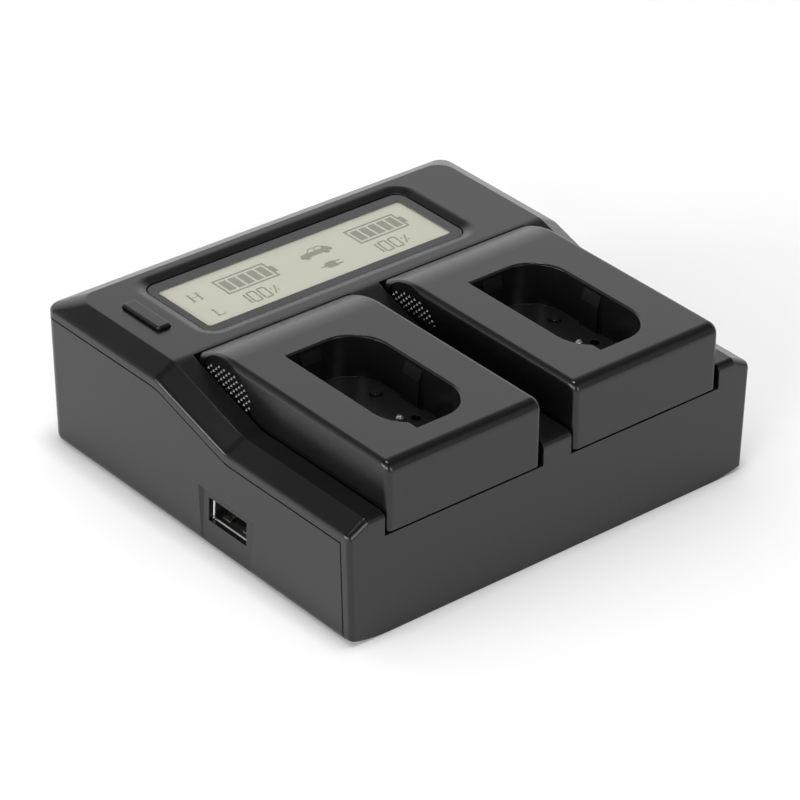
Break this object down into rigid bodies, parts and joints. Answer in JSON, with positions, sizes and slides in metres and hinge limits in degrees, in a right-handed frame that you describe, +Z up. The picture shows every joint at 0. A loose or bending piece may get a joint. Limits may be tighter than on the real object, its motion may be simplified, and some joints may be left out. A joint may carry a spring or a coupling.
{
  "type": "camera battery charger",
  "caption": "Free-standing battery charger with a display and key on its rear deck, a sloped housing and lift-off adapter plates with battery pockets in front.",
  "frame": {"origin": "on the floor, in the middle of the housing's footprint", "axes": "+X to the right as the display is read, +Y from the plates to the display, +Z up"},
  "size_m": [0.123, 0.111, 0.0425],
  "materials": {
    "housing_plastic": "fine matt texture",
    "plate_plastic": "fine matt texture",
    "window_glass": "clear, smooth",
    "display_glass": "pale greenish display",
    "white_plastic": "white light guide",
    "black_plastic": "moulded black",
    "circuit_board": "green board",
    "steel": "plated steel",
    "plated_metal": "bright nickel plate",
    "contact_brass": "plated spring brass",
    "ferrite": "sintered ferrite",
    "can_aluminium": "sleeved cans"
  },
  "bodies": {
    "housing": {"base_shell": "housing_plastic", "top_cover": "housing_plastic", "display_window": "window_glass", "display_frame": "black_plastic", "lcd_panel": "display_glass", "backlight": "white_plastic", "display_board": "circuit_board", "display_screws": "steel", "tact_switch": "black_plastic", "main_board": "circuit_board", "main_board_screws": "steel", "usb_shell": "plated_metal", "usb_tongue": "black_plastic", "usb_contacts": "contact_brass", "inlet_body": "black_plastic", "inlet_pin": "plated_metal", "power_coil": "ferrite", "capacitors": "can_aluminium", "control_chip": "black_plastic", "power_chips": "black_plastic", "housing_screws": "steel", "left_bay_socket": "black_plastic", "left_socket_springs": "contact_brass", "right_bay_socket": "black_plastic", "right_socket_springs": "contact_brass"},
    "mode_key": {"mode_key": "housing_plastic"},
    "left_plate": {"left_adapter_plate": "plate_plastic", "left_plate_lid": "plate_plastic", "left_plate_screws": "steel", "left_contact_pins": "plated_metal", "left_plate_blades": "contact_brass"},
    "right_plate": {"right_adapter_plate": "plate_plastic", "right_plate_lid": "plate_plastic", "right_plate_screws": "steel", "right_contact_pins": "plated_metal", "right_plate_blades": "contact_brass"}
  },
  "joints": [
    {"name": "mode_key_press", "type": "slide", "parent": "housing", "child": "mode_key", "axis": [0, 0, -1], "range_m": [0, 0.0004], "stiffness_N_per_m": 1500, "springref_m": -0.0005},
    {"name": "left_plate_lift", "type": "slide", "parent": "housing", "child": "left_plate", "axis": [0, 0, 1], "range_m": [0, 0.022]},
    {"name": "right_plate_lift", "type": "slide", "parent": "housing", "child": "right_plate", "axis": [0, 0, 1], "range_m": [0, 0.022]}
  ]
}
